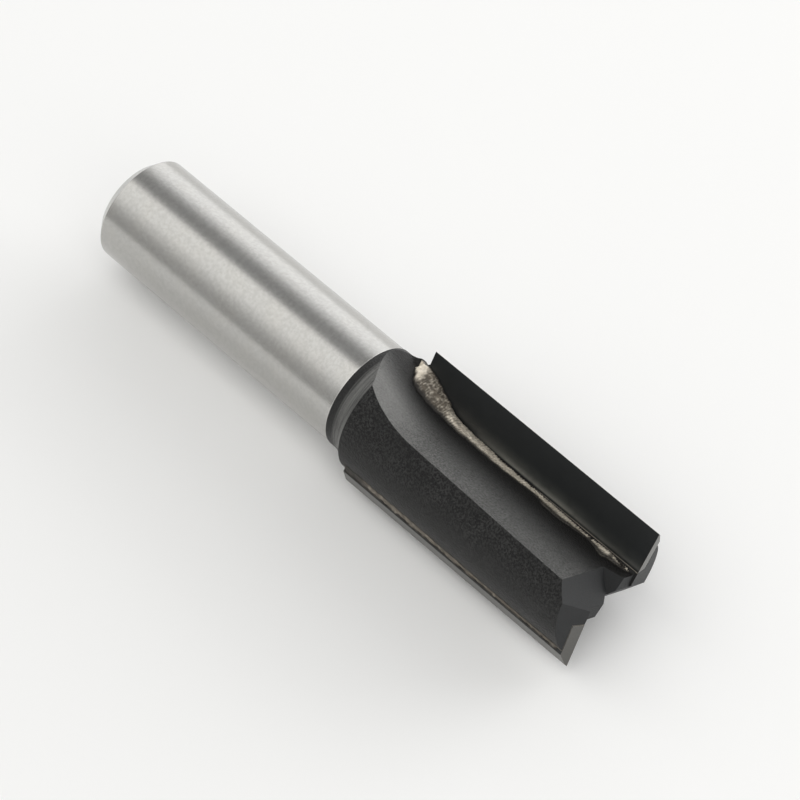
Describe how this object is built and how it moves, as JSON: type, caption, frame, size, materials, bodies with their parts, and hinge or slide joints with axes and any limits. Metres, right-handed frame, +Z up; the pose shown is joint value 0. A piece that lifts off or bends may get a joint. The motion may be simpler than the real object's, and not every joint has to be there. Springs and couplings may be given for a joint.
{
  "type": "router bit",
  "caption": "Straight fluted router bit: a ground round shank, a black-coated body with open flutes, and brazed carbide cutting plates along its length.",
  "frame": {"origin": "centre of the shank's end face, on the tool axis", "axes": "+X along the tool axis from the shank end to the cutting end, +Z up as the bit lies on its shank, +Y across"},
  "size_m": [0.07, 0.014, 0.0132],
  "materials": {
    "steel": "matt black coating on the fluted body; the shank is bright ground steel",
    "carbide": "ground tungsten carbide",
    "braze": "dull lumpy braze"
  },
  "bodies": {
    "root": {"steel_body": "steel", "carbide_tip_1": "carbide", "carbide_tip_2": "carbide", "braze_seam_1": "braze", "braze_seam_2": "braze"}
  },
  "joints": []
}
